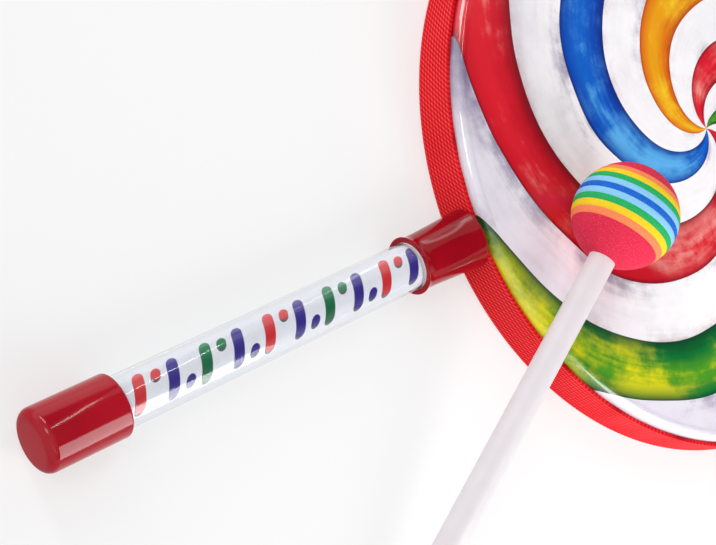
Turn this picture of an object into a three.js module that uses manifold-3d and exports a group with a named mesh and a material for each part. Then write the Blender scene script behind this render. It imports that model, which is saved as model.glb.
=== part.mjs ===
import * as THREE from "three";
import { mergeVertices } from "three/addons/utils/BufferGeometryUtils.js";
import Module from "manifold-3d";

const wasm = await Module();
wasm.setup();

// Driving dimensions in millimetres. The drum axis is Z and the handle runs along -Y.
const SHELL_OUTER_RADIUS = 126.5;
const SHELL_BEARING = 1.15;
const SHELL_EDGE = 0.8;
const FILM_THICKNESS = 0.4;
const FILM_SKIRT = 4.2;
const CROWN_RADIUS = 3.7;
const WEBBING_WIDTH = 17.6;
const WEBBING_THICKNESS = 1.6;
const WEBBING_LIFT = 0.3;

const HANDLE_RAISE = 0.4;
const TUBE_RADIUS = 8.9;
const TUBE_WALL = 0.8;
const TUBE_LENGTH = 180.1;
const CAP_WALL = 1.8;
const CAP_LENGTH = 30;
const CAP_END_WALL = 2.5;
const CAP_ROUND = 3.3;
const SOCKET_WALL = 1;
const SOCKET_LENGTH = 30;
const SOCKET_FLOOR = 3.2;
const SOCKET_SWELL = 0.8;
const SOCKET_SWELL_START = 5;
const SOCKET_FLARE = 0.7;
const SOCKET_FLARE_LENGTH = 18;
const LIP_LENGTH = 3.6;
const LIP_EDGE = 0.3;
const LABEL_THICKNESS = 0.3;
const LABEL_BARE_END = 4.5;
const LABEL_SEAM = 1;
const SCREW_RADIUS = 1.9;
const SCREW_BITE = 11;
const SCREW_TIP = 4;
const SCREW_HEAD_RADIUS = 4;
const SCREW_HEAD_HEIGHT = 2.4;
const PLUG_BEYOND_SCREW = 6.8;
const WASHER_RADIUS = 6;
const WASHER_THICKNESS = 1.2;

const FOAM_LAYER = 2.45;
const FOAM_STICK_END = 9.9;
const FOAM_FAR_END = 8.05;
const STICK_RADIUS = 5.1;
const STICK_REACH = 203;
const BALL_INSET = 46.93;
const BALL_BEARING = 10.22;
const MALLET_YAW = 34.9;
const EDGE_BREAK = 0.5;

// Clearances: between glued layers, round a push fit, round the screw, and round the mallet's pieces
const BOND_GAP = 0.25;
const FIT_GAP = 0.2;
const SCREW_GAP = 0.3;
const MALLET_GAP = 0.3;

// How far a cutting shape runs past the material it cuts
const CUT_PAST = 3;

// Facets round the drum, the handle pieces, the screw and the mallet, and along round edges
const DRUM_STEPS = 72;
const HANDLE_STEPS = 40;
const SCREW_STEPS = 24;
const MALLET_STEPS = 36;
const ROUND_STEPS = 5;
const SOCKET_RINGS = 11;

// Foam layers from the stick's side of the ball to the far side; the first ones are bored for the stick
const FOAM_COLOURS = [
  ["red", 0xe12e4e],
  ["orange", 0xf58a55],
  ["yellow", 0xf0cd23],
  ["green", 0x1caf5f],
  ["light_blue", 0x89c8ee],
  ["blue", 0x0a66cc],
  ["light_blue", 0x89c8ee],
  ["green", 0x1caf5f],
  ["yellow", 0xf0cd23],
  ["orange", 0xf58a55],
  ["red", 0xe12e4e],
];
const BORED_LAYERS = 8;

// Drum sizes that follow from the ones above
const shellRound = CROWN_RADIUS - FILM_THICKNESS - BOND_GAP;
const shellInner = SHELL_OUTER_RADIUS - shellRound - SHELL_BEARING - SHELL_EDGE;
const skirtInner = SHELL_OUTER_RADIUS + BOND_GAP;
const skirtOuter = skirtInner + FILM_THICKNESS;
const webbingInner = skirtOuter + BOND_GAP;
const webbingOuter = webbingInner + WEBBING_THICKNESS;
const webbingTop = WEBBING_LIFT + WEBBING_WIDTH;
const headHeight = webbingTop + CROWN_RADIUS;
const crownCentre = skirtOuter - CROWN_RADIUS;

// Handle sizes: radii, then places along the handle counted outward from the drum axis
const boreRadius = TUBE_RADIUS + FIT_GAP;
const capRadius = boreRadius + CAP_WALL;
const neckRadius = boreRadius + SOCKET_WALL;
const tubeInner = TUBE_RADIUS - TUBE_WALL;
const liningRadius = tubeInner - FIT_GAP;
const screwHole = SCREW_RADIUS + SCREW_GAP;
const handleHeight = headHeight / 2 + HANDLE_RAISE;
const tableHeight = Math.min(0, handleHeight - capRadius);

const socketFoot = webbingOuter + BOND_GAP;
const socketFloor = socketFoot + SOCKET_FLOOR;
const socketMouth = webbingOuter + SOCKET_LENGTH;
const lipStart = socketMouth - LIP_LENGTH;
const tubeStart = socketFloor + FIT_GAP;
const tubeEnd = tubeStart + TUBE_LENGTH;
const capFloor = tubeEnd + FIT_GAP;
const capEnd = capFloor + CAP_END_WALL;
const capMouth = capEnd - CAP_LENGTH;
const washerFace = Math.sqrt(shellInner ** 2 - WASHER_RADIUS ** 2) - BOND_GAP;
const washerSeat = washerFace - WASHER_THICKNESS;
const screwSeat = washerSeat - FIT_GAP;
const screwEnd = tubeStart + SCREW_BITE;
const pilotEnd = screwEnd + FIT_GAP;
const plugEnd = pilotEnd + PLUG_BEYOND_SCREW;
const labelStart = plugEnd + FIT_GAP;
const labelEnd = capMouth - LABEL_BARE_END;

// Mallet sizes: the ball is turned from its stack of foam, and lies on the head with its stick on the table
const innerLayers = FOAM_COLOURS.length - 2;
const ballRadius = (FOAM_STICK_END + innerLayers * FOAM_LAYER + FOAM_FAR_END) / 2;
const foamPlane = (index) => ballRadius - FOAM_STICK_END - FOAM_LAYER * index;
const foamBore = STICK_RADIUS + MALLET_GAP;
const stickStart = foamPlane(BORED_LAYERS - 1) + MALLET_GAP / 2;
const ballHeight = headHeight + MALLET_GAP + ballRadius;
const stickDrop = ballHeight - STICK_RADIUS - MALLET_GAP - tableHeight;
const malletTilt = Math.asin(stickDrop / STICK_REACH);

// Points of a circular arc, angles in degrees
function arc(cx, cy, radius, from, to, steps = ROUND_STEPS) {
  const points = [];
  for (let i = 0; i <= steps; i += 1) {
    const angle = THREE.MathUtils.degToRad(from + ((to - from) * i) / steps);
    points.push([cx + radius * Math.cos(angle), cy + radius * Math.sin(angle)]);
  }
  return points;
}

// Turned solid round Y from [radius, height] points
function turned(points, steps) {
  return new THREE.LatheGeometry(
    points.map(([r, y]) => new THREE.Vector2(r, y)),
    steps,
  );
}

// Turned ring: the profile closes on itself
function turnedRing(points, steps) {
  return turned([...points, points[0]], steps);
}

// Band with a gap in it: a ring cut open at its lowest point, extruded along Z
function openBand(inner, outer, gap, length, steps) {
  const half = Math.asin(gap / 2 / inner);
  const sweep = 2 * (Math.PI - half);
  const outline = [];
  for (let i = 0; i <= steps; i += 1) {
    const angle = -Math.PI / 2 + half + (sweep * i) / steps;
    outline.push(new THREE.Vector2(outer * Math.cos(angle), outer * Math.sin(angle)));
  }
  for (let i = steps; i >= 0; i -= 1) {
    const angle = -Math.PI / 2 + half + (sweep * i) / steps;
    outline.push(new THREE.Vector2(inner * Math.cos(angle), inner * Math.sin(angle)));
  }
  return new THREE.ExtrudeGeometry(new THREE.Shape(outline), { depth: length, bevelEnabled: false });
}

// From the lathe's Y axis to the drum's Z axis
function onDrum(geometry) {
  return geometry.rotateX(Math.PI / 2);
}

// From the lathe's Y axis to the handle's axis
function onHandle(geometry) {
  return geometry.rotateZ(Math.PI).translate(0, 0, handleHeight);
}

// Straight hole on the handle's axis, for the screw
function screwCut(from, to) {
  return onHandle(turned([[0, from], [screwHole, from], [screwHole, to], [0, to]], SCREW_STEPS));
}

function toSolid(geometry) {
  const bare = geometry.clone();
  bare.deleteAttribute("normal");
  bare.deleteAttribute("uv");
  const merged = mergeVertices(bare, 1e-4);
  return new wasm.Manifold(
    new wasm.Mesh({
      numProp: 3,
      vertProperties: merged.attributes.position.array,
      triVerts: new Uint32Array(merged.index.array),
    }),
  );
}

function toGeometry(solid) {
  const mesh = solid.getMesh();
  const geometry = new THREE.BufferGeometry();
  geometry.setAttribute("position", new THREE.BufferAttribute(mesh.vertProperties, 3));
  geometry.setIndex(new THREE.BufferAttribute(mesh.triVerts, 1));
  geometry.computeVertexNormals();
  return geometry;
}

// The first geometry less each of the others
function cut(geometry, ...tools) {
  return toGeometry(tools.reduce((solid, tool) => solid.subtract(toSolid(tool)), toSolid(geometry)));
}

// Shell hoop: fibreboard ring, outer top edge rounded under the film's crown
function shellHoop() {
  const top = webbingTop + shellRound;
  const ring = turnedRing(
    [
      [shellInner + SHELL_EDGE, 0],
      [SHELL_OUTER_RADIUS - SHELL_EDGE, 0],
      [SHELL_OUTER_RADIUS, SHELL_EDGE],
      ...arc(crownCentre, webbingTop, shellRound, 0, 90),
      [shellInner + SHELL_EDGE, top],
      [shellInner, top - SHELL_EDGE],
      [shellInner, SHELL_EDGE],
    ],
    DRUM_STEPS,
  );
  return cut(onDrum(ring), screwCut(shellInner - CUT_PAST, SHELL_OUTER_RADIUS + CUT_PAST));
}

// Drumhead: flat film, rounded crown, skirt between shell and webbing, notched if the screw reaches it
function drumhead() {
  const film = turned(
    [
      [0, headHeight - FILM_THICKNESS],
      ...arc(crownCentre, webbingTop, CROWN_RADIUS - FILM_THICKNESS, 90, 0),
      [skirtInner, webbingTop - FILM_SKIRT],
      [skirtOuter, webbingTop - FILM_SKIRT],
      ...arc(crownCentre, webbingTop, CROWN_RADIUS, 0, 90),
      [0, headHeight],
    ],
    DRUM_STEPS,
  );
  return cut(onDrum(film), screwCut(skirtInner - CUT_PAST, skirtOuter + CUT_PAST));
}

// Rim webbing: one band, its two ends either side of the screw under the socket's foot
function rimWebbing() {
  const band = openBand(webbingInner, webbingOuter, 2 * screwHole, WEBBING_WIDTH, DRUM_STEPS);
  return band.translate(0, 0, WEBBING_LIFT);
}

// Handle socket: cup with a trumpet lip, its foot wider sideways and hollowed to the webbing's curve
function handleSocket() {
  const sideLength = lipStart - webbingOuter;
  const outside = [
    [0, socketFoot - CUT_PAST],
    [neckRadius + SOCKET_SWELL, socketFoot - CUT_PAST],
  ];
  for (let i = 0; i <= SOCKET_RINGS; i += 1) {
    const along = (sideLength * i) / SOCKET_RINGS;
    const part = THREE.MathUtils.smoothstep(along, SOCKET_SWELL_START, sideLength);
    outside.push([neckRadius + SOCKET_SWELL * (1 - part), webbingOuter + along]);
  }
  const bore = [
    [0, socketFloor],
    [boreRadius, socketFloor],
    [boreRadius, lipStart],
  ];
  for (let i = 1; i <= ROUND_STEPS; i += 1) {
    const part = i / ROUND_STEPS;
    outside.push([neckRadius + SOCKET_SWELL * part ** 2, lipStart + (LIP_LENGTH - LIP_EDGE) * part]);
    bore.push([boreRadius + SOCKET_SWELL * part ** 2, lipStart + LIP_LENGTH * part]);
  }
  outside.push([neckRadius + SOCKET_SWELL - LIP_EDGE, socketMouth], [0, socketMouth]);
  bore.push([boreRadius + SOCKET_SWELL, socketMouth + CUT_PAST], [0, socketMouth + CUT_PAST]);

  const body = turned(outside, HANDLE_STEPS);
  const place = body.attributes.position;
  for (let i = 0; i < place.count; i += 1) {
    const along = place.getY(i) - webbingOuter;
    const flare = THREE.MathUtils.clamp(1 - along / SOCKET_FLARE_LENGTH, 0, 1) ** 3;
    const widen = 1 + (SOCKET_FLARE * flare) / (neckRadius + SOCKET_SWELL);
    place.setX(i, place.getX(i) * widen);
  }
  const below = tableHeight - CUT_PAST;
  const above = headHeight + 2 * capRadius;
  const drum = turned([[0, below], [socketFoot, below], [socketFoot, above], [0, above]], DRUM_STEPS);
  return cut(
    onHandle(body),
    onHandle(turned(bore, HANDLE_STEPS)),
    onDrum(drum),
    screwCut(socketFoot - CUT_PAST, socketFloor + CUT_PAST),
  );
}

// Handle tube: clear, open at both ends
function handleTube() {
  return onHandle(
    turnedRing(
      [[tubeInner, tubeStart], [TUBE_RADIUS, tubeStart], [TUBE_RADIUS, tubeEnd], [tubeInner, tubeEnd]],
      HANDLE_STEPS,
    ),
  );
}

// Label insert: rolled paper, its seam underneath
function labelInsert() {
  const inner = liningRadius - LABEL_THICKNESS;
  const roll = openBand(inner, liningRadius, LABEL_SEAM, labelEnd - labelStart, HANDLE_STEPS);
  return roll.rotateX(Math.PI / 2).translate(0, -labelStart, handleHeight);
}

// Anchor plug: wood, drilled for the screw
function anchorPlug() {
  const pilotRadius = SCREW_RADIUS + FIT_GAP;
  return onHandle(
    turned(
      [
        [0, pilotEnd],
        [pilotRadius, pilotEnd],
        [pilotRadius, tubeStart],
        [liningRadius - EDGE_BREAK, tubeStart],
        [liningRadius, tubeStart + EDGE_BREAK],
        [liningRadius, plugEnd - EDGE_BREAK],
        [liningRadius - EDGE_BREAK, plugEnd],
        [0, plugEnd],
      ],
      HANDLE_STEPS,
    ),
  );
}

// Anchor screw: pan head inside the hoop, pointed shank
function anchorScrew() {
  const head = arc(0, 0, 1, -90, 0).map(([x, y]) => [SCREW_HEAD_RADIUS * x, screwSeat + SCREW_HEAD_HEIGHT * y]);
  head[0][0] = 0;
  return onHandle(
    turned(
      [...head, [SCREW_RADIUS, screwSeat], [SCREW_RADIUS, screwEnd - SCREW_TIP], [0, screwEnd]],
      SCREW_STEPS,
    ),
  );
}

// Screw washer: flat ring against the hoop's inside
function screwWasher() {
  return onHandle(
    turnedRing(
      [
        [screwHole, washerSeat],
        [WASHER_RADIUS, washerSeat],
        [WASHER_RADIUS, washerFace],
        [screwHole, washerFace],
      ],
      SCREW_STEPS,
    ),
  );
}

// End cap: cup over the tube's far end, its end edge rounded as far as the walls allow
function endCap() {
  const round = Math.min(CAP_ROUND, 3 * Math.min(CAP_WALL, CAP_END_WALL));
  return onHandle(
    turned(
      [
        [0, capFloor],
        [boreRadius, capFloor],
        [boreRadius, capMouth + EDGE_BREAK],
        [boreRadius + EDGE_BREAK, capMouth],
        [capRadius - EDGE_BREAK, capMouth],
        [capRadius, capMouth + EDGE_BREAK],
        ...arc(capRadius - round, capEnd - round, round, 0, 90),
        [0, capEnd],
      ],
      HANDLE_STEPS,
    ),
  );
}

// Mallet stick: rod from inside the ball to a round end
function malletStick() {
  const end = arc(0, STICK_REACH, STICK_RADIUS, 0, 90);
  end[end.length - 1][0] = 0;
  return turned(
    [[0, stickStart], [STICK_RADIUS - EDGE_BREAK, stickStart], [STICK_RADIUS, stickStart + EDGE_BREAK], ...end],
    MALLET_STEPS,
  );
}

// Foam layer: slice of the ball, those on the stick's side bored
function foamLayer(index) {
  const last = FOAM_COLOURS.length - 1;
  const bored = index < BORED_LAYERS;
  const latitude = (height) => THREE.MathUtils.radToDeg(Math.asin(height / ballRadius));
  const boreLatitude = THREE.MathUtils.radToDeg(Math.acos(foamBore / ballRadius));
  const low = index === last ? -90 : latitude(foamPlane(index) + MALLET_GAP / 2);
  const high = index === 0 ? boreLatitude : latitude(foamPlane(index - 1) - MALLET_GAP / 2);
  const steps = index === 0 || index === last ? ROUND_STEPS : 2;
  const outside = arc(0, 0, ballRadius, low, high, steps);
  const bottom = outside[0][1];
  const top = outside[steps][1];
  const core = bored ? foamBore : 0;
  if (index === last) {
    outside[0][0] = 0;
    return turned([...outside, [0, top]], MALLET_STEPS);
  }
  if (index === 0) {
    return turnedRing([[core, bottom], ...outside], MALLET_STEPS);
  }
  const slice = [[core, bottom], ...outside, [core, top]];
  return bored ? turnedRing(slice, MALLET_STEPS) : turned(slice, MALLET_STEPS);
}

function piece(parent, name, geometry, color, roughness, metalness = 0) {
  const mesh = new THREE.Mesh(geometry, new THREE.MeshStandardMaterial({ color, roughness, metalness }));
  mesh.name = name;
  parent.add(mesh);
}

const assembly = new THREE.Group();
piece(assembly, "shell_hoop", shellHoop(), 0xb99a72, 0.8);
piece(assembly, "drumhead", drumhead(), 0xf2f0f2, 0.25);
piece(assembly, "rim_webbing", rimWebbing(), 0xd9323a, 0.85);
piece(assembly, "handle_socket", handleSocket(), 0x960c1c, 0.3);
piece(assembly, "handle_tube", handleTube(), 0xe6e9ee, 0.1);
piece(assembly, "label_insert", labelInsert(), 0xeceef4, 0.7);
piece(assembly, "anchor_plug", anchorPlug(), 0xc8a36c, 0.75);
piece(assembly, "anchor_screw", anchorScrew(), 0xb8b8bc, 0.35, 1);
piece(assembly, "screw_washer", screwWasher(), 0xa9a9ae, 0.4, 1);
piece(assembly, "end_cap", endCap(), 0xb0303c, 0.3);

// The mallet turns round the ball's centre: the stick runs out over the rim and down to the table
const mallet = new THREE.Group();
const bearing = THREE.MathUtils.degToRad(BALL_BEARING);
const yaw = THREE.MathUtils.degToRad(MALLET_YAW);
const ballReach = webbingOuter - BALL_INSET;
const stickWay = new THREE.Vector3(
  Math.sin(yaw) * Math.cos(malletTilt),
  -Math.cos(yaw) * Math.cos(malletTilt),
  -Math.sin(malletTilt),
);
mallet.quaternion.setFromUnitVectors(new THREE.Vector3(0, 1, 0), stickWay);
mallet.position.set(ballReach * Math.sin(bearing), -ballReach * Math.cos(bearing), ballHeight);
piece(mallet, "mallet_stick", malletStick(), 0xe9e4e6, 0.45);
FOAM_COLOURS.forEach(([colour, value], index) => {
  const number = String(index + 1).padStart(2, "0");
  piece(mallet, `foam_${number}_${colour}`, foamLayer(index), value, 0.9);
});
assembly.add(mallet);

// The part's origin is the middle of its footprint, on the table
assembly.updateMatrixWorld(true);
const box = new THREE.Box3().setFromObject(assembly, true);
assembly.position.set(-(box.min.x + box.max.x) / 2, -(box.min.y + box.max.y) / 2, -box.min.z);

const part = new THREE.Group();
part.add(assembly);

export default part;
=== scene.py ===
import math

import bmesh
import bpy
from mathutils import Matrix, Vector


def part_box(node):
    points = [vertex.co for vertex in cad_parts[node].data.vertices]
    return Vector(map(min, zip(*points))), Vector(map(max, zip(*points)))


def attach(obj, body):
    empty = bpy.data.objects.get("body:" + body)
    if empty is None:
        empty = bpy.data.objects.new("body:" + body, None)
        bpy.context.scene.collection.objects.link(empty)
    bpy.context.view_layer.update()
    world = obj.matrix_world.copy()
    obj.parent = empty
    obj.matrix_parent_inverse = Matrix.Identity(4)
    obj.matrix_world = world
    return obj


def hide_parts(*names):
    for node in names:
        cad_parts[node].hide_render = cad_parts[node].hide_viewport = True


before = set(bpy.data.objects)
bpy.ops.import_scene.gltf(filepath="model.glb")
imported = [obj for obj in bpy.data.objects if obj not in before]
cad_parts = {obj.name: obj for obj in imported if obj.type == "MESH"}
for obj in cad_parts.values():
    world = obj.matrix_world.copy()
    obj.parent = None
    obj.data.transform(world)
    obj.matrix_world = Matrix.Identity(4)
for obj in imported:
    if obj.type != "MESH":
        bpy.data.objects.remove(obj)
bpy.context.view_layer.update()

# Sizes in metres that the frame's boxes don't give
MM = 0.001
FILM_THICKNESS = 0.4 * MM
CROWN_RADIUS = 3.7 * MM
CROWN_GLOSS_INSIDE = 1.5 * MM
CROWN_GLOSS_OUTSIDE = 0.6 * MM
SHELL_WALL = 5 * MM
SHELL_EDGE = 0.8 * MM
BOND_GAP = 0.25 * MM
WEBBING_THICKNESS = 1.6 * MM
WEBBING_END_GAP = 4.4 * MM
WEAVE_DEPTH = 0.32 * MM
EDGE_WAVE = 0.16 * MM
TUBE_WALL = 0.8 * MM
LIT_BAND_REACH = 1.4 * MM
FIT_GAP = 0.2 * MM
SOCKET_NECK_RADIUS = 10.1 * MM
SOCKET_SWELL = 0.8 * MM
SOCKET_SWELL_START = 5 * MM
SOCKET_FLARE = 0.7 * MM
SOCKET_FLARE_LENGTH = 18 * MM
SOCKET_FLOOR = 3.2 * MM
SOCKET_FOOT_ROUND = 1.3 * MM
SOCKET_SEAT_LENGTH = 9 * MM
LIP_LENGTH = 3.6 * MM
LIP_EDGE = 0.35 * MM
LIP_GRIP = 0.03 * MM
CAP_END_WALL = 2.5 * MM
CAP_ROUND = 3.3 * MM
CAP_MOUTH_ROUND = 0.8 * MM
LABEL_THICKNESS = 0.3 * MM
LABEL_UNDER_CAP = 8 * MM
LABEL_GAP = 0.05 * MM
LABEL_SEAM = 1 * MM
BAR_PITCH = 13 * MM
BAR_WIDTH = 4.2 * MM
BAR_HEIGHT = 13 * MM
DOT_RADIUS = 1.9 * MM
DOT_RISE = 3.4 * MM
INK_EDGE = 0.12 * MM
INK_SHADOW_ALONG = 0.4 * MM
INK_SHADOW_RISE = -0.75 * MM
SCREW_RADIUS = 1.9 * MM
SCREW_TIP = 4 * MM
RECESS_LONG = 4.4 * MM
RECESS_WIDE = 1 * MM
RECESS_DEEP = 1.3 * MM
WASHER_EDGE = 0.25 * MM
WASHER_PLAY = 0.3 * MM
STICK_RADIUS = 5.1 * MM
STICK_EDGE = 0.5 * MM
FOAM_EDGE = 0.22 * MM
FOAM_STICK_END = 9.9 * MM
FOAM_LAYER = 2.45 * MM

# Counts
DRUM_STEPS = 256
HANDLE_STEPS = 128
BALL_STEPS = 128
ROUND_STEPS = 10
EDGE_STEPS = 4
MOUTH_STEPS = 5
FOOT_STEPS = 6
WASHER_EDGE_STEPS = 3
TUBE_END_STEPS = 8
FIXING_STEPS = 64
STICK_STEPS = 96
SOCKET_RINGS = 40
LAYER_STEPS = 6
BLOCK_STEPS = 24
BORED_LAYERS = 8

# Weave: dashes in a turn, ribs across, slant and shift in parts of a dash, form of the relief, edge waves
WEAVE_COUNT = 430
WEAVE_RIBS = 10
WEAVE_SLANT = -1.15
WEAVE_SHIFT = 0.15
WEAVE_SAMPLES = 6
RIB_SAMPLES = 5
RIB_ROUND = 0.5
DASH_ROUND = 0.6
DASH_SHARE = 0.75
FINE_WAVES = 31
COARSE_WAVES = 13
SWAY_WAVES = 7
SWAY = 2

# Gloss of the clear tube, face on and at its edges
TUBE_GLOSS = 0.035
TUBE_EDGE_GLOSS = 0.8

# Print on the head and the label
SWIRL_ARMS = 10
SWIRL_CURL = 5.6
SWIRL_OPENING = 0.85
SWIRL_WANDER = 0.8
LABEL_FACING = math.radians(96)
BAR_SLANT = 28


def node_box(name):
    low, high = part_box(name)
    return Vector(low), Vector(high)


# Places and sizes that the frame gives
rim_low, rim_high = node_box("rim_webbing")
head_low, head_high = node_box("drumhead")
shell_low, shell_high = node_box("shell_hoop")
tube_low, tube_high = node_box("handle_tube")
socket_low, _ = node_box("handle_socket")
cap_low, cap_high = node_box("end_cap")
_, label_high = node_box("label_insert")
plug_low, plug_high = node_box("anchor_plug")
screw_low, screw_high = node_box("anchor_screw")
washer_low, washer_high = node_box("screw_washer")
stick_low, stick_high = node_box("mallet_stick")

drum_x = (rim_low.x + rim_high.x) / 2
drum_y = (rim_low.y + rim_high.y) / 2
rim_radius = (rim_high.x - rim_low.x) / 2
shell_radius = (shell_high.x - shell_low.x) / 2
skirt_radius = (head_high.x - head_low.x) / 2
head_top = head_high.z
crown_centre = skirt_radius - CROWN_RADIUS
crown_base = head_top - CROWN_RADIUS
handle_z = (tube_low.z + tube_high.z) / 2
tube_radius = (tube_high.x - tube_low.x) / 2
cap_radius = (cap_high.x - cap_low.x) / 2
bore_radius = tube_radius + FIT_GAP


def outward(y):
    """Distance along the handle from the drum's axis."""
    return drum_y - y


foam_nodes = sorted(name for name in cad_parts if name.startswith("foam_"))
foam_boxes = [node_box(name) for name in foam_nodes]
ball_low = Vector(min(low[i] for low, high in foam_boxes) for i in range(3))
ball_high = Vector(max(high[i] for low, high in foam_boxes) for i in range(3))
ball_centre = (ball_low + ball_high) / 2
ball_radius = (ball_high.z - ball_low.z) / 2
stick_corner = Vector((stick_high.x, stick_low.y, stick_low.z))
stick_end = stick_corner + Vector((-STICK_RADIUS, STICK_RADIUS, STICK_RADIUS))
stick_reach = (stick_end - ball_centre).length
stick_way = (stick_end - ball_centre).normalized()

# Frames: local Z is the drum's axis, the handle outward from it, and the mallet from ball to stick end
ON_DRUM = Matrix.Translation((drum_x, drum_y, 0))
ON_HANDLE = Matrix(((1, 0, 0, drum_x), (0, 0, -1, drum_y), (0, 1, 0, handle_z), (0, 0, 0, 1)))
ON_MALLET = Matrix.Translation(ball_centre) @ stick_way.to_track_quat("Z", "Y").to_matrix().to_4x4()


def ink(red, green, blue):
    """Linear colour from display values of 0 to 255."""
    def linear(value):
        value = value / 255
        return value / 12.92 if value <= 0.04045 else ((value + 0.055) / 1.055) ** 2.4
    return (linear(red), linear(green), linear(blue), 1)


# Shader expressions

class Shade:
    """A shader socket that takes part in Python expressions."""

    def __init__(self, finish, socket):
        self.finish = finish
        self.socket = socket

    def math(self, operation, *values):
        inputs = dict(enumerate(values))
        return self.finish.add("ShaderNodeMath", {"operation": operation}, inputs)

    def __add__(self, other):
        return self.math("ADD", self, other)

    __radd__ = __add__

    def __sub__(self, other):
        return self.math("SUBTRACT", self, other)

    def __rsub__(self, other):
        return self.math("SUBTRACT", other, self)

    def __mul__(self, other):
        return self.math("MULTIPLY", self, other)

    __rmul__ = __mul__

    def __truediv__(self, other):
        return self.math("DIVIDE", self, other)

    def __rtruediv__(self, other):
        return self.math("DIVIDE", other, self)

    def __pow__(self, other):
        return self.math("POWER", self, other)

    def __mod__(self, other):
        return self.math("FLOORED_MODULO", self, other)

    def __abs__(self):
        return self.math("ABSOLUTE", self)

    def __lt__(self, other):
        return self.math("LESS_THAN", self, other)

    def __gt__(self, other):
        return self.math("GREATER_THAN", self, other)

    def floor(self):
        return self.math("FLOOR", self)

    def fraction(self):
        return self.math("FRACT", self)

    def sine(self):
        return self.math("SINE", self)

    def cosine(self):
        return self.math("COSINE", self)

    def least(self, other):
        return self.math("MINIMUM", self, other)

    def most(self, other):
        return self.math("MAXIMUM", self, other)

    def step(self, low, high):
        """Smooth step from 0 at low to 1 at high."""
        settings = {"interpolation_type": "SMOOTHSTEP"}
        return self.finish.add("ShaderNodeMapRange", settings, {0: self, 1: low, 2: high})

    def ramp(self, *stops):
        """Colour ramp of (position, colour) stops."""
        return self.finish.add("ShaderNodeValToRGB", {"stops": stops}, {0: self})


class Tree:
    """A node tree whose nodes all come from add()."""

    def __init__(self, tree):
        self.nodes = tree.nodes
        self.links = tree.links

    def add(self, kind, settings, inputs, output=0):
        node = self.nodes.new(kind)
        for key, value in settings.items():
            if key == "stops":
                self.set_stops(node.color_ramp, value)
            else:
                setattr(node, key, value)
        for key, value in inputs.items():
            if isinstance(value, Shade):
                self.links.new(value.socket, node.inputs[key])
            else:
                node.inputs[key].default_value = value
        return Shade(self, node.outputs[output])

    def set_stops(self, ramp, stops):
        while len(ramp.elements) < len(stops):
            ramp.elements.new(0.5)
        for element, (position, colour) in zip(ramp.elements, stops):
            element.position = position
            element.color = colour

    def split(self, vector):
        return [self.add("ShaderNodeSeparateXYZ", {}, {0: vector}, axis) for axis in "XYZ"]


class Finish(Tree):
    """A material of one Principled shader."""

    def __init__(self, name, **constants):
        self.material = bpy.data.materials.new(name)
        self.material.use_nodes = True
        super().__init__(self.material.node_tree)
        self.shader = self.nodes["Principled BSDF"]
        for socket, value in constants.items():
            self.shader.inputs[socket.replace("_", " ")].default_value = value

    def place(self):
        """Position on the piece at rest, in the part's frame."""
        return self.add("ShaderNodeTexCoord", {}, {}, "Object")

    def axes(self):
        return self.split(self.place())

    def noise(self, scale, detail=3, roughness=0.5, vector=None):
        inputs = {"Scale": scale, "Detail": detail, "Roughness": roughness}
        inputs["Vector"] = vector or self.place()
        return self.add("ShaderNodeTexNoise", {}, inputs)

    def mix(self, factor, first, second, blend="MIX"):
        settings = {"data_type": "RGBA", "blend_type": blend}
        return self.add("ShaderNodeMix", settings, {0: factor, 6: first, 7: second}, 2)

    def angle(self, up, across):
        return self.add("ShaderNodeMath", {"operation": "ARCTAN2"}, {0: up, 1: across})

    def feed(self, socket, shade):
        self.links.new(shade.socket, self.shader.inputs[socket])

    def bump(self, height, distance, strength=1):
        inputs = {"Height": height, "Distance": distance, "Strength": strength}
        self.feed("Normal", self.add("ShaderNodeBump", {}, inputs))

    def clear(self, gloss):
        """Lets what is behind show through, apart from a share of gloss."""
        window = self.add("ShaderNodeBsdfTransparent", {}, {"Color": (0.985, 0.988, 0.992, 1)})
        shine = Shade(self, self.shader.outputs[0])
        mixed = self.add("ShaderNodeMixShader", {}, {0: gloss, 1: window, 2: shine})
        self.links.new(mixed.socket, self.nodes["Material Output"].inputs["Surface"])


# Finishes

# Each paint: its arm, then dark, main, light and glow colours
SWIRL_PAINTS = [
    (1, (128, 4, 26), (208, 12, 36), (228, 26, 46), (244, 164, 156)),
    (3, (2, 66, 36), (2, 114, 48), (72, 152, 32), (230, 220, 16)),
    (5, (128, 4, 28), (210, 12, 38), (230, 28, 48), (246, 160, 150)),
    (7, (188, 66, 12), (232, 116, 18), (244, 166, 20), (252, 224, 48)),
    (9, (4, 34, 120), (4, 70, 180), (8, 98, 204), (96, 184, 242)),
]

FOAM_COLOURS = {
    "red": ink(220, 36, 72),
    "orange": ink(246, 136, 84),
    "yellow": ink(240, 206, 30),
    "green": ink(26, 172, 92),
    "light_blue": ink(137, 200, 240),
    "blue": ink(10, 100, 204),
}


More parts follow.
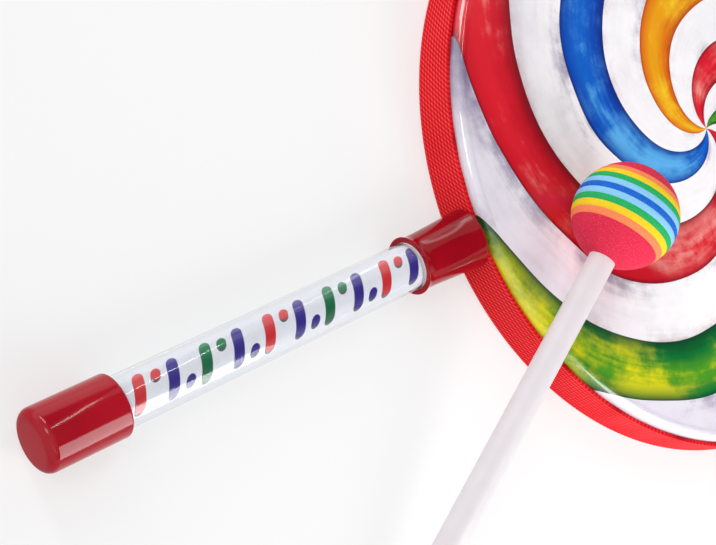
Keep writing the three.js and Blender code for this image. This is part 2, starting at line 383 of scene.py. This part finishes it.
def swirl_colour(finish):
    """Generic candy swirl: arms of colour between white arms, painted wet with blooms."""
    x, y, z = finish.axes()
    x = x - drum_x
    y = y - drum_y
    reach = (x * x + y * y) ** 0.5 / rim_radius
    turn = finish.angle(y, x) / math.tau
    wander = finish.noise(scale=9, detail=2) - 0.5
    arm = (turn * SWIRL_ARMS + reach ** SWIRL_OPENING * SWIRL_CURL + wander * SWIRL_WANDER) % SWIRL_ARMS
    index = arm.floor()
    strokes = finish.add("ShaderNodeCombineXYZ", {}, {0: arm * 5, 1: reach * 7, 2: wander})
    stroke = finish.noise(scale=1.6, detail=5, roughness=0.6, vector=strokes) - 0.5
    blot = finish.noise(scale=60, detail=6, roughness=0.7) - 0.5
    pool = finish.noise(scale=20, detail=3) - 0.5
    side = arm.fraction()
    middle = (side * math.pi).sine()
    across = side + (blot * 0.24 + stroke * 0.22 + pool * 0.7) * middle
    damp = (pool * 1.3 + blot * 0.9 + stroke * 0.4 + 0.5).step(0.2, 0.6)
    bloom = (pool * 1.7 + blot * 0.9 + stroke * 0.5 + 0.5).step(0.42, 0.84) * middle
    shade = across.ramp(
        (0, ink(146, 136, 166)),
        (0.1, ink(190, 180, 200)),
        (0.3, ink(244, 239, 244)),
        (0.7, ink(252, 249, 252)),
        (0.93, ink(232, 220, 222)),
        (1, ink(206, 188, 190)),
    )
    colour = finish.mix(damp, shade, ink(255, 253, 255))
    # Greyer and darker towards the rim.
    colour = finish.mix(reach.step(0.62, 0.98) * 0.8, colour, ink(216, 212, 224), "MULTIPLY")
    for number, dark, main, light, glow in SWIRL_PAINTS:
        shaded = across.ramp(
            (0, ink(*dark)),
            (0.2, ink(*main)),
            (0.45, ink(*light)),
            (0.66, ink(*light)),
            (0.92, ink(*main)),
            (1, ink(*dark)),
        )
        painted = finish.mix(bloom, shaded, ink(*glow))
        colour = finish.mix((index > number - 0.5) * (index < number + 0.5), colour, painted)
    wash = (blot + stroke * 0.5).step(-0.45, 0.4)
    tint = wash.ramp((0, ink(224, 222, 226)), (1, ink(255, 255, 255)))
    return finish.mix(0.5, colour, tint, "MULTIPLY")


def printed_film():
    finish = Finish("printed_film", IOR=1.5, Coat_Roughness=0.03, Coat_IOR=1.6)
    finish.feed("Base Color", swirl_colour(finish))
    x, y, z = finish.axes()
    reach = ((x - drum_x) ** 2 + (y - drum_y) ** 2) ** 0.5
    crown = reach.step(crown_centre - CROWN_GLOSS_INSIDE, crown_centre + CROWN_GLOSS_OUTSIDE)
    finish.feed("Coat Weight", crown * 0.92 + 0.08)
    finish.feed("Roughness", 0.3 - crown * 0.16 + finish.noise(scale=120, detail=2) * 0.08)
    dimples = finish.noise(scale=800, detail=4, roughness=0.6) * crown
    dimples = dimples + finish.noise(scale=30, detail=2) * 0.15
    finish.bump(dimples, distance=0.35 * MM, strength=0.8)
    return finish.material


def film_back():
    finish = Finish("film_back", Roughness=0.35)
    finish.feed("Base Color", finish.mix(0.82, swirl_colour(finish), ink(232, 230, 230)))
    finish.bump(finish.noise(scale=300, detail=2), distance=0.05 * MM, strength=0.4)
    return finish.material


def woven_red():
    finish = Finish("woven_red", Roughness=0.7, Specular_IOR_Level=0.12)
    x, y, z = finish.axes()
    turn = finish.angle(y - drum_y, x - drum_x) / math.tau
    rib = (z - rim_low.z) / (rim_high.z - rim_low.z) * WEAVE_RIBS
    side = rib.fraction()
    phase = turn * WEAVE_COUNT + rib.floor() * WEAVE_SHIFT + side * WEAVE_SLANT
    dash = (phase * math.tau).cosine() * 0.5 + 0.5
    crest = (side * math.pi).sine().most(0) ** RIB_ROUND
    raised = crest * (dash ** DASH_ROUND * DASH_SHARE + (1 - DASH_SHARE))
    threads = finish.noise(scale=2600, detail=2)
    patch = finish.noise(scale=35, detail=2)
    # Painted shade and painted highlight: the colour follows the weave's relief, dark red in the hollows
    # and pale pinkish red on the raised dashes; thread and patch noise add random tone over it.
    tone = raised * 0.85 + threads * 0.16 + patch * 0.14 - 0.07
    finish.feed("Base Color", tone.ramp(
        (0.12, ink(150, 2, 12)),
        (0.45, ink(210, 18, 30)),
        (0.75, ink(234, 42, 50)),
        (1, ink(248, 90, 88)),
    ))
    finish.bump(raised + threads * 0.3, distance=0.16 * MM, strength=0.7)
    return finish.material


def vinyl(name, dark, main):
    """Glossy dip-moulded vinyl, a little uneven."""
    finish = Finish(name, IOR=1.38)
    cloud = finish.noise(scale=40, detail=3)
    finish.feed("Base Color", cloud.ramp((0.3, ink(*dark)), (0.7, ink(*main))))
    finish.feed("Roughness", finish.noise(scale=130, detail=2) * 0.06 + 0.07)
    finish.bump(finish.noise(scale=70, detail=2), distance=0.25 * MM, strength=0.25)
    return finish.material


def clear_plastic():
    finish = Finish("clear_plastic", Base_Color=(0.92, 0.925, 0.94, 1))
    finish.feed("Roughness", finish.noise(scale=90, detail=2) * 0.05 + 0.02)
    finish.bump(finish.noise(scale=45, detail=1), distance=0.2 * MM, strength=0.12)
    x, y, z = finish.axes()
    # Painted light: the tube turns opaque white where the socket's lip grips it, in place of the shade
    # that falls on the label under the lip.
    painted_light_band = 1 - (drum_y - y).step(outward(socket_low.y), outward(socket_low.y) + LIT_BAND_REACH)
    finish.feed("Metallic", 1 - painted_light_band)
    edge = finish.add("ShaderNodeLayerWeight", {}, {"Blend": 0.5}, "Facing")
    finish.clear((edge ** 4 * TUBE_EDGE_GLOSS + TUBE_GLOSS).most(painted_light_band))
    return finish.material


def label_paper():
    """White label with a frieze of slanted bars and dots in generic candy colours."""
    finish = Finish("label_paper", Roughness=0.45)
    x, y, z = finish.axes()
    radius = tube_radius - TUBE_WALL
    rise = (finish.angle(z - handle_z, x - drum_x) - LABEL_FACING) * radius
    along = drum_y - y

    def frieze(shift_along, shift_rise):
        """Share covered by bars and dots, the number of the bar, and the height on it."""
        height = rise - shift_rise
        cell = (along - shift_along) / BAR_PITCH + height * BAR_SLANT
        side = (cell.fraction() - 0.5) * BAR_PITCH
        beyond = (abs(height) - BAR_HEIGHT / 2 + BAR_WIDTH / 2).most(0)
        bar = (side * side + beyond * beyond) ** 0.5 - BAR_WIDTH / 2
        gap = (0.5 - abs(cell.fraction() - 0.5)) * BAR_PITCH
        level = (((cell + 0.5).floor() % 2) * 2 - 1) * DOT_RISE
        dot = (gap * gap + (height - level) ** 2) ** 0.5 - DOT_RADIUS
        return 1 - bar.least(dot).step(-INK_EDGE, INK_EDGE), (cell + 0.25).floor() % 4, height

    shadow, _, _ = frieze(INK_SHADOW_ALONG, INK_SHADOW_RISE)
    covered, index, height = frieze(0, 0)
    gleam = height.step(-BAR_HEIGHT / 4, BAR_HEIGHT / 2)
    violet = finish.mix(gleam, ink(44, 28, 132), ink(70, 58, 152))
    red = finish.mix(gleam, ink(206, 30, 40), ink(228, 74, 78))
    green = finish.mix(gleam, ink(4, 100, 60), ink(14, 134, 84))
    colour = finish.mix((index > 0.5) * (index < 1.5), violet, red)
    colour = finish.mix(index > 2.5, colour, green)
    fibre = finish.noise(scale=900, detail=3)
    paper = fibre.ramp((0.2, ink(228, 229, 236)), (0.8, ink(240, 241, 247)))
    paper = finish.mix(shadow, paper, ink(92, 94, 98))
    finish.feed("Base Color", finish.mix(covered, paper, colour))
    finish.bump(fibre, distance=0.03 * MM, strength=0.3)
    return finish.material


def fibreboard():
    finish = Finish("fibreboard", Roughness=0.8)
    fibres = finish.noise(scale=700, detail=5, roughness=0.7)
    patches = finish.noise(scale=60, detail=3)
    tone = fibres * 0.7 + patches * 0.3
    finish.feed("Base Color", tone.ramp(
        (0.25, ink(122, 92, 62)),
        (0.5, ink(168, 134, 96)),
        (0.75, ink(196, 164, 124)),
    ))
    finish.bump(fibres, distance=0.15 * MM, strength=0.6)
    return finish.material


def turned_wood():
    finish = Finish("turned_wood", Roughness=0.6)
    along_grain = {0: finish.place(), 1: (1, 0.08, 1)}
    stretched = finish.add("ShaderNodeVectorMath", {"operation": "MULTIPLY"}, along_grain)
    grain = finish.noise(scale=900, detail=4, roughness=0.6, vector=stretched)
    finish.feed("Base Color", grain.ramp((0.3, ink(176, 136, 84)), (0.7, ink(214, 178, 124))))
    finish.bump(grain, distance=0.1 * MM, strength=0.4)
    return finish.material


def zinc_steel():
    finish = Finish("zinc_steel", Metallic=1.0)
    cloud = finish.noise(scale=500, detail=3)
    finish.feed("Base Color", cloud.ramp((0.3, ink(150, 152, 158)), (0.7, ink(196, 198, 204))))
    finish.feed("Roughness", finish.noise(scale=900, detail=3) * 0.25 + 0.22)
    return finish.material


def stick_plastic():
    finish = Finish("stick_plastic", Roughness=0.42)
    cloud = finish.noise(scale=90, detail=3)
    finish.feed("Base Color", cloud.ramp((0.3, ink(218, 211, 215)), (0.7, ink(225, 218, 222))))
    finish.bump(finish.noise(scale=1400, detail=2), distance=0.03 * MM, strength=0.4)
    return finish.material


def foam(name, colour):
    """Closed-cell foam, cut and sanded: fine cells and a dusty bloom."""
    finish = Finish("foam_" + name, Roughness=0.92, Specular_IOR_Level=0.15)
    finish.shader.inputs["Sheen Weight"].default_value = 0.02
    finish.shader.inputs["Sheen Roughness"].default_value = 0.5
    inputs = {"Vector": finish.place(), "Scale": 2600}
    cells = finish.add("ShaderNodeTexVoronoi", {"feature": "F1"}, inputs)
    grain = finish.noise(scale=3200, detail=2, roughness=0.6)
    pale = tuple(value + (1 - value) * 0.1 for value in colour[:3]) + (1,)
    deep = tuple(value * 0.85 for value in colour[:3]) + (1,)
    tone = grain * 0.8 + cells * 0.2
    finish.feed("Base Color", tone.ramp((0.28, deep), (0.5, colour), (0.78, pale)))
    finish.bump(cells + grain, distance=0.09 * MM, strength=0.7)
    return finish.material


# Meshes

def arc(cx, cy, radius, start, end, steps=ROUND_STEPS):
    """Points of a circular arc, angles in degrees."""
    points = []
    for i in range(steps + 1):
        angle = math.radians(start + (end - start) * i / steps)
        points.append((cx + radius * math.cos(angle), cy + radius * math.sin(angle)))
    return points


def circle(radius, steps):
    """Points round a circle."""
    angles = [math.tau * k / steps for k in range(steps)]
    return [(radius * math.cos(angle), radius * math.sin(angle)) for angle in angles]


def skin(rings, closed=False):
    """Vertices, faces and each face's band number between rings; a ring of one point closes the shape."""
    verts = [point for ring in rings for point in ring]
    starts = [0]
    for ring in rings:
        starts.append(starts[-1] + len(ring))
    pairs = [(i, i + 1) for i in range(len(rings) - 1)]
    if closed:
        pairs.append((len(rings) - 1, 0))
    faces = []
    bands = []
    for low, high in pairs:
        steps = max(len(rings[low]), len(rings[high]))
        for k in range(steps):
            corners = [
                starts[low] + k % len(rings[low]),
                starts[low] + (k + 1) % len(rings[low]),
                starts[high] + (k + 1) % len(rings[high]),
                starts[high] + k % len(rings[high]),
            ]
            faces.append(tuple(dict.fromkeys(corners)))
            bands.append(low)
    return verts, faces, bands


def turned(profile, place, steps, closed=False):
    """Turned shape round local Z from (radius, height) points."""
    rings = []
    for radius, height in profile:
        if radius < 1e-9:
            rings.append([place @ Vector((0, 0, height))])
            continue
        rings.append([place @ Vector((x, y, height)) for x, y in circle(radius, steps)])
    return skin(rings, closed)


def piece(name, shape, materials, body, nodes, slot, sharp=40):
    """One object from (vertices, faces), riding on a body in place of CAD nodes."""
    verts, faces = shape[:2]
    mesh = bpy.data.meshes.new(name)
    mesh.from_pydata(verts, [], faces)
    shaper = bmesh.new()
    shaper.from_mesh(mesh)
    bmesh.ops.recalc_face_normals(shaper, faces=shaper.faces)
    shaper.to_mesh(mesh)
    shaper.free()
    mesh.shade_smooth()
    mesh.set_sharp_from_angle(angle=math.radians(sharp))
    for material in materials:
        mesh.materials.append(material)
    made = bpy.data.objects.new(name, mesh)
    bpy.context.collection.objects.link(made)
    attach(made, body)
    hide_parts(*nodes)
    return made


def make_head():
    """Printed film: flat head, rounded crown, skirt down behind the webbing."""
    inner = skirt_radius - FILM_THICKNESS
    back = [
        (0, head_top - FILM_THICKNESS),
        *arc(crown_centre, crown_base, CROWN_RADIUS - FILM_THICKNESS, 90, 0),
        (inner, head_low.z),
    ]
    front = [
        (skirt_radius, head_low.z),
        *arc(crown_centre, crown_base, CROWN_RADIUS, 0, 90),
        (0, head_top),
    ]
    shape = turned(back + front, ON_DRUM, DRUM_STEPS)
    films = [printed_film(), film_back()]
    head = piece("printed_head", shape, films, "drum", ["drumhead"], "printed_film")
    for face, band in zip(head.data.polygons, shape[2]):
        face.material_index = 1 if band < len(back) else 0


def make_hoop():
    """Fibreboard shell ring."""
    round_edge = CROWN_RADIUS - FILM_THICKNESS - BOND_GAP
    inner = shell_radius - SHELL_WALL
    top = shell_high.z
    profile = [
        *arc(inner + SHELL_EDGE, SHELL_EDGE, SHELL_EDGE, 180, 270, EDGE_STEPS),
        *arc(shell_radius - SHELL_EDGE, SHELL_EDGE, SHELL_EDGE, 270, 360, EDGE_STEPS),
        *arc(shell_radius - round_edge, top - round_edge, round_edge, 0, 90),
        *arc(inner + SHELL_EDGE, top - SHELL_EDGE, SHELL_EDGE, 90, 180, EDGE_STEPS),
    ]
    shape = turned(profile, ON_DRUM, DRUM_STEPS, closed=True)
    piece("fibre_hoop", shape, [fibreboard()], "drum", ["shell_hoop"], "fibreboard")


def weave_height(turn, rib):
    """Relief of the webbing, 0 to 1: ribs of slanted dashes, each rib a little after the last."""
    side = rib % 1
    phase = turn * WEAVE_COUNT + math.floor(rib) * WEAVE_SHIFT + side * WEAVE_SLANT
    dash = 0.5 + 0.5 * math.cos(math.tau * phase)
    crest = max(math.sin(math.pi * side), 0) ** RIB_ROUND
    return crest * (1 - DASH_SHARE + DASH_SHARE * dash ** DASH_ROUND)


def make_webbing():
    """Woven band round the side, its two ends under the socket's foot."""
    width = rim_high.z - rim_low.z
    inner = rim_radius - WEBBING_THICKNESS
    half = math.asin(WEBBING_END_GAP / 2 / inner)
    columns = WEAVE_COUNT * WEAVE_SAMPLES
    rows = WEAVE_RIBS * RIB_SAMPLES
    loops = []
    for i in range(columns + 1):
        angle = -math.pi / 2 + half + (math.tau - 2 * half) * i / columns
        cosine = math.cos(angle)
        sine = math.sin(angle)
        turn = math.atan2(sine, cosine) / math.tau
        sway = SWAY * math.sin(angle * SWAY_WAVES)
        wave = EDGE_WAVE * math.sin(angle * FINE_WAVES + sway) * math.sin(angle * COARSE_WAVES)
        loop = []
        for j in range(rows + 1):
            share = j / rows
            relief = weave_height(turn, share * WEAVE_RIBS) if 0 < j < rows else 0
            radius = rim_radius - WEAVE_DEPTH * (1 - relief)
            height = rim_low.z + width * share - (EDGE_WAVE + wave) * share
            loop.append(ON_DRUM @ Vector((radius * cosine, radius * sine, height)))
        top = loop[-1].z
        loop.append(ON_DRUM @ Vector((inner * cosine, inner * sine, top)))
        loop.append(ON_DRUM @ Vector((inner * cosine, inner * sine, rim_low.z)))
        loops.append(loop)
    verts, faces, _ = skin(loops)
    count = len(loops[0])
    faces.append(tuple(range(count)))
    faces.append(tuple(range(len(verts) - count, len(verts))))
    shape = (verts, faces)
    band = piece("woven_band", shape, [woven_red()], "drum", ["rim_webbing"], "red_webbing", 60)


def make_socket():
    """Vinyl cup: trumpet lip, neck, foot flared sideways and seated on the webbing's curve."""
    foot = rim_radius + BOND_GAP
    mouth = outward(socket_low.y)
    lip_start = mouth - LIP_LENGTH
    side_length = lip_start - rim_radius
    full = SOCKET_NECK_RADIUS + SOCKET_SWELL

    def smooth(value):
        value = min(max(value, 0), 1)
        return value * value * (3 - 2 * value)

    def ring(radius, along, seat):
        """Ring round the handle; seat is 1 where it follows the webbing's curve, 0 where it is flat."""
        flare = min(max(1 - (along - rim_radius) / SOCKET_FLARE_LENGTH, 0), 1) ** 3
        points = []
        for x, z in circle(radius, HANDLE_STEPS):
            x = x * (1 + SOCKET_FLARE * flare / full)
            drop = foot - math.sqrt(foot ** 2 - x ** 2)
            points.append(ON_HANDLE @ Vector((x, z, along - drop * seat)))
        return points

    rings = [[ON_HANDLE @ Vector((0, 0, foot))]]
    flat = full - SOCKET_FOOT_ROUND
    start = foot + SOCKET_FOOT_ROUND
    for part in (0.2, 0.4, 0.6, 0.8):
        rings.append(ring(flat * part, foot, 1))
    for radius, along in arc(flat, start, SOCKET_FOOT_ROUND, 270, 360, FOOT_STEPS):
        rings.append(ring(radius, along, 1))
    for i in range(1, SOCKET_RINGS + 1):
        along = start + (lip_start - start) * i / SOCKET_RINGS
        part = smooth((along - rim_radius - SOCKET_SWELL_START) / (side_length - SOCKET_SWELL_START))
        seat = 1 - smooth((along - start) / SOCKET_SEAT_LENGTH)
        rings.append(ring(SOCKET_NECK_RADIUS + SOCKET_SWELL * (1 - part), along, seat))
    for i in range(1, ROUND_STEPS + 1):
        part = i / ROUND_STEPS
        along = lip_start + (LIP_LENGTH - LIP_EDGE) * part
        rings.append(ring(SOCKET_NECK_RADIUS + SOCKET_SWELL * part ** 2, along, 0))
    for radius, along in arc(full - LIP_EDGE, mouth - LIP_EDGE, LIP_EDGE, 30, 90, EDGE_STEPS):
        rings.append(ring(radius, along, 0))
    grip_radius = tube_radius + LIP_GRIP
    for radius, along in arc(grip_radius + LIP_EDGE, mouth - LIP_EDGE, LIP_EDGE, 90, 180, MOUTH_STEPS):
        rings.append(ring(radius, along, 0))
    rings.append(ring(grip_radius, lip_start, 0))
    rings.append(ring(bore_radius, lip_start, 0))
    floor = foot + SOCKET_FLOOR
    rings.append([ON_HANDLE @ Vector((x, z, floor)) for x, z in circle(bore_radius, HANDLE_STEPS)])
    rings.append([ON_HANDLE @ Vector((0, 0, floor))])
    red = vinyl("dark_red_vinyl", (136, 4, 18), (160, 8, 26))
    piece("vinyl_socket", skin(rings), [red], "drum", ["handle_socket"], "dark_red_vinyl", 50)


def make_tube():
    """Clear tube with fire-polished ends, opaque white where the socket grips it: painted light in place
    of the shade under the lip.
    """
    start = outward(tube_high.y)
    end = outward(tube_low.y)
    middle = tube_radius - TUBE_WALL / 2
    half = TUBE_WALL / 2
    profile = [
        *arc(middle, start + half, half, 180, 360, TUBE_END_STEPS),
        *arc(middle, end - half, half, 0, 180, TUBE_END_STEPS),
    ]
    shape = turned(profile, ON_HANDLE, HANDLE_STEPS, closed=True)
    piece("clear_tube", shape, [clear_plastic()], "drum", ["handle_tube"], "clear_plastic", 60)


def make_label():
    """Rolled paper inside the tube, its seam underneath."""
    outer = tube_radius - TUBE_WALL - LABEL_GAP
    inner = outer - LABEL_THICKNESS
    half = math.asin(LABEL_SEAM / 2 / inner)
    start = outward(label_high.y)
    end = outward(cap_high.y) + LABEL_UNDER_CAP
    loops = []
    for i in range(HANDLE_STEPS + 1):
        angle = -math.pi / 2 + half + (math.tau - 2 * half) * i / HANDLE_STEPS
        way = Vector((math.cos(angle), math.sin(angle), 0))
        corners = [(outer, start), (outer, end), (inner, end), (inner, start)]
        loops.append([ON_HANDLE @ (way * radius + Vector((0, 0, along))) for radius, along in corners])
    verts, faces, _ = skin(loops)
    faces.append((0, 1, 2, 3))
    faces.append(tuple(range(len(verts) - 4, len(verts))))
    piece("paper_label", (verts, faces), [label_paper()], "drum", ["label_insert"], "label_paper")


def make_fixings():
    """Wood plug, pan-head screw with a cross recess, and flat washer."""
    plug_radius = (plug_high.x - plug_low.x) / 2
    start = outward(plug_high.y)
    end = outward(plug_low.y)
    screw_end = outward(screw_low.y)
    pilot = SCREW_RADIUS + FIT_GAP
    edge = SHELL_EDGE
    profile = [
        (0, screw_end + FIT_GAP),
        (pilot, screw_end + FIT_GAP),
        (pilot, start),
        *arc(plug_radius - edge, start + edge, edge, 270, 360, EDGE_STEPS),
        *arc(plug_radius - edge, end - edge, edge, 0, 90, EDGE_STEPS),
        (0, end),
    ]
    shape = turned(profile, ON_HANDLE, FIXING_STEPS)
    piece("wood_plug", shape, [turned_wood()], "drum", ["anchor_plug"], "plug_wood")

    steel = zinc_steel()
    washer_radius = (washer_high.x - washer_low.x) / 2
    near = outward(washer_high.y)
    far = outward(washer_low.y)
    edge = WASHER_EDGE
    hole = SCREW_RADIUS + WASHER_PLAY
    profile = [
        (hole, near),
        *arc(washer_radius - edge, near + edge, edge, 270, 360, WASHER_EDGE_STEPS),
        *arc(washer_radius - edge, far - edge, edge, 0, 90, WASHER_EDGE_STEPS),
        (hole, far),
    ]
    shape = turned(profile, ON_HANDLE, FIXING_STEPS, closed=True)
    piece("flat_washer", shape, [steel], "drum", ["screw_washer"], "zinc_steel")

    head_radius = (screw_high.x - screw_low.x) / 2
    tip = outward(screw_high.y)
    seat = near - FIT_GAP
    height = seat - tip
    head = [(head_radius * px, seat + height * py) for px, py in arc(0, 0, 1, -90, 0)]
    head[0] = (0, tip)
    profile = [*head, (SCREW_RADIUS, seat), (SCREW_RADIUS, screw_end - SCREW_TIP), (0, screw_end)]
    shape = turned(profile, ON_HANDLE, FIXING_STEPS)
    screw = piece("pan_screw", shape, [steel], "drum", ["anchor_screw"], "zinc_steel", 30)
    cut_recess(screw, tip)


def cut_recess(screw, tip):
    """Cross recess in the screw's head."""
    slots = {"recess_a": (RECESS_LONG, RECESS_WIDE), "recess_b": (RECESS_WIDE, RECESS_LONG)}
    for name, (wide, tall) in slots.items():
        mesh = bpy.data.meshes.new(name)
        shaper = bmesh.new()
        bmesh.ops.create_cube(shaper, size=1)
        scale = Matrix.Diagonal((wide, tall, 2 * RECESS_DEEP, 1))
        place = ON_HANDLE @ Matrix.Translation((0, 0, tip)) @ scale
        bmesh.ops.transform(shaper, matrix=place, verts=shaper.verts)
        bmesh.ops.recalc_face_normals(shaper, faces=shaper.faces)
        shaper.to_mesh(mesh)
        shaper.free()
        cutter = bpy.data.objects.new(name, mesh)
        bpy.context.collection.objects.link(cutter)
        cut = screw.modifiers.new(name, "BOOLEAN")
        cut.operation = "DIFFERENCE"
        cut.object = cutter
        bpy.context.view_layer.update()
        graph = bpy.context.evaluated_depsgraph_get()
        shaped = bpy.data.meshes.new_from_object(screw.evaluated_get(graph))
        screw.modifiers.remove(cut)
        screw.data = shaped
        bpy.data.objects.remove(cutter)


def make_cap():
    """Vinyl cap over the tube's far end, its end edge well rounded."""
    mouth = outward(cap_high.y)
    end = outward(cap_low.y)
    floor = end - CAP_END_WALL
    edge = CAP_MOUTH_ROUND
    profile = [
        (0, floor),
        (bore_radius, floor),
        *arc(bore_radius + edge, mouth + edge, edge, 180, 270, MOUTH_STEPS),
        *arc(cap_radius - edge, mouth + edge, edge, 270, 360, MOUTH_STEPS),
        *arc(cap_radius - CAP_ROUND, end - CAP_ROUND, CAP_ROUND, 0, 90),
        (0, end),
    ]
    red = vinyl("red_vinyl", (158, 14, 30), (180, 24, 40))
    shape = turned(profile, ON_HANDLE, HANDLE_STEPS)
    piece("vinyl_cap", shape, [red], "cap", ["end_cap"], "red_vinyl")


def make_mallet():
    """White stick in a ball of foam slices, glued and turned round."""
    layer_count = len(foam_nodes) - 2
    planes = [ball_radius - FOAM_STICK_END - FOAM_LAYER * i for i in range(layer_count + 1)]
    start = planes[BORED_LAYERS - 1]
    edge = STICK_EDGE
    profile = [
        (0, start),
        *arc(STICK_RADIUS - edge, start + edge, edge, 270, 360, EDGE_STEPS),
        *arc(0, stick_reach, STICK_RADIUS, 0, 90),
    ]
    profile[-1] = (0, stick_reach + STICK_RADIUS)
    shape = turned(profile, ON_MALLET, STICK_STEPS)
    piece("plastic_stick", shape, [stick_plastic()], "mallet", ["mallet_stick"], "white_plastic")

    finishes = {name: foam(name, colour) for name, colour in FOAM_COLOURS.items()}
    last = len(foam_nodes) - 1
    for index, node in enumerate(foam_nodes):
        colour = node.split("_", 2)[2]
        bore = STICK_RADIUS if index < BORED_LAYERS else 0
        low = -ball_radius if index == last else planes[index]
        high = math.sqrt(ball_radius ** 2 - bore ** 2) if index == 0 else planes[index - 1]
        profile = foam_slice(low, high, bore, index in (0, last))
        shape = turned(profile, ON_MALLET, BALL_STEPS, closed=bore > 0)
        slice_name = f"foam_slice_{index + 1:02d}"
        made = piece(slice_name, shape, [finishes[colour]], "mallet", [node], "foam_" + colour)


def foam_slice(low, high, bore, end_block):
    """Profile of one slice of the ball, its glued edges drawn in by a hair."""
    start = math.degrees(math.asin(low / ball_radius))
    stop = math.degrees(math.asin(high / ball_radius))
    steps = BLOCK_STEPS if end_block else LAYER_STEPS
    outside = arc(0, 0, ball_radius, start, stop, steps)
    if low > -ball_radius:
        outside[0] = (outside[0][0] - FOAM_EDGE, low)
    if bore == 0 and low == -ball_radius:
        outside[0] = (0, low)
    if not (end_block and bore > 0):
        outside[-1] = (outside[-1][0] - FOAM_EDGE, high)
    if bore == 0:
        bottom = [] if low == -ball_radius else [(0, low)]
        return bottom + outside + [(0, high)]
    if end_block:
        return [(bore, low)] + outside
    return [(bore, low)] + outside + [(bore, high)]


make_head()
make_hoop()
make_webbing()
make_socket()
make_tube()
make_label()
make_fixings()
make_cap()
make_mallet()


# Stage: pale table, white room, soft boxes

TABLE_HALF = 12
TABLE_GLOW = 0.55
TABLE_TONES = (0.385, 0.395)
FRONT_GLOW = 0.67
HORIZON_GLOW = 0.52
LEFT_GLOW = 1.1
CEILING_GLOW = 0.06
BELOW_GLOW = 0.3
BELOW_FAR_GLOW = 0.45

# Each light: its name, place and aim from the drum's middle, width, height and power
SOFT_BOXES = [
    ("key_box", (-0.7, -1.4, 1.5), (0, -0.1, 0), 0.6, 0.6, 6.4),
    ("rim_card", (-0.85, -0.35, 0.5), (-0.1, 0, 0.02), 0.2, 0.5, 2.5),
    ("right_card", (0.62, -0.76, 0.66), (0.05, -0.1, 0.02), 1.0, 0.05, 0.4),
    ("socket_card", (-0.3, 0.17, 0.26), (0, -0.145, 0.01), 0.36, 0.36, 0.24),
    ("cap_card", (0.42, -0.07, 0.22), (0, -0.07, 0.01), 0.24, 0.4, 1.9),
    ("thin_strip", (-0.5, 0.1, 0.78), (0, -0.3, 0.01), 0.02, 0.4, 0.6),
    ("crown_strip", (-0.8, 0.5, 0.42), (-0.12, 0, 0.02), 0.06, 0.6, 0.4),
]

CAMERA_PLACE = Vector((-42.61, -506.24, 472.16)) * MM
CAMERA_AIM = Vector((-4.71, -172.57, 0)) * MM
CAMERA_ROLL = math.radians(73.08)
CAMERA_LENS = 81.74
CAMERA_SENSOR = 36


def make_floor():
    """A light table, so that shadows on it stay faint."""
    finish = Finish("pale_table", Roughness=0.7, Specular_IOR_Level=0.1, Emission_Strength=TABLE_GLOW)
    finish.shader.inputs["Emission Color"].default_value = (1, 1, 1, 1)
    dark, light = [(tone, tone, tone, 1) for tone in TABLE_TONES]
    finish.feed("Base Color", finish.noise(scale=3, detail=2).ramp((0.3, dark), (0.7, light)))
    half = TABLE_HALF
    corners = [(-half, -half, 0), (half, -half, 0), (half, half, 0), (-half, half, 0)]
    mesh = bpy.data.meshes.new("table")
    mesh.from_pydata(corners, [], [(0, 1, 2, 3)])
    mesh.materials.append(finish.material)
    table = bpy.data.objects.new("table", mesh)
    bpy.context.collection.objects.link(table)
    table.visible_glossy = False


def soft_box(name, place, aim, width, height, power):
    light = bpy.data.lights.new(name, "AREA")
    light.shape = "RECTANGLE"
    light.size = width
    light.size_y = height
    light.energy = power
    lamp = bpy.data.objects.new(name, light)
    lamp.location = place
    lamp.rotation_euler = (Vector(aim) - Vector(place)).to_track_quat("-Z", "Y").to_euler()
    lamp.visible_camera = False
    bpy.context.collection.objects.link(lamp)


def make_light():
    """A pale room, brightest behind the camera, with white cards and a strip that show as gloss."""
    world = bpy.data.worlds.new("pale_room")
    world.use_nodes = True
    room = Tree(world.node_tree)
    way = room.add("ShaderNodeTexCoord", {}, {}, "Generated")
    x, y, z = room.split(way)
    front = (z * 0.55 - y * 0.83).step(0.05, 0.8) * FRONT_GLOW
    horizon = (1 - abs(z).step(0.06, 0.3)) * HORIZON_GLOW
    left = (0 - x).step(0.45, 0.9) * (1 - abs(z).step(0.2, 0.4)) * LEFT_GLOW
    below = (0 - z).step(0.05, 0.3) * (y.step(-0.1, 0.3) * BELOW_FAR_GLOW + BELOW_GLOW)
    glow = front.most(horizon).most(left).most(below) + CEILING_GLOW
    room.links.new(glow.socket, room.nodes["Background"].inputs["Strength"])
    room.nodes["Background"].inputs["Color"].default_value = (1, 1, 1, 1)
    bpy.context.scene.world = world
    drum = Vector((drum_x, drum_y, 0))
    for name, place, aim, width, height, power in SOFT_BOXES:
        soft_box(name, drum + Vector(place), drum + Vector(aim), width, height, power)


def make_camera():
    """Camera at the photograph's angle: above the handle, turned on its side."""
    camera = bpy.data.cameras.new("camera")
    camera.sensor_width = CAMERA_SENSOR
    camera.lens = CAMERA_LENS
    viewer = bpy.data.objects.new("camera", camera)
    place = Vector((drum_x, drum_y, 0)) + CAMERA_PLACE
    aim = Vector((drum_x, drum_y, 0)) + CAMERA_AIM
    look = (aim - place).to_track_quat("-Z", "Y").to_matrix().to_4x4()
    viewer.matrix_world = Matrix.Translation(place) @ look @ Matrix.Rotation(CAMERA_ROLL, 4, "Z")
    bpy.context.collection.objects.link(viewer)
    bpy.context.scene.camera = viewer


make_floor()
make_light()
make_camera()
bpy.context.scene.view_settings.view_transform = "Standard"
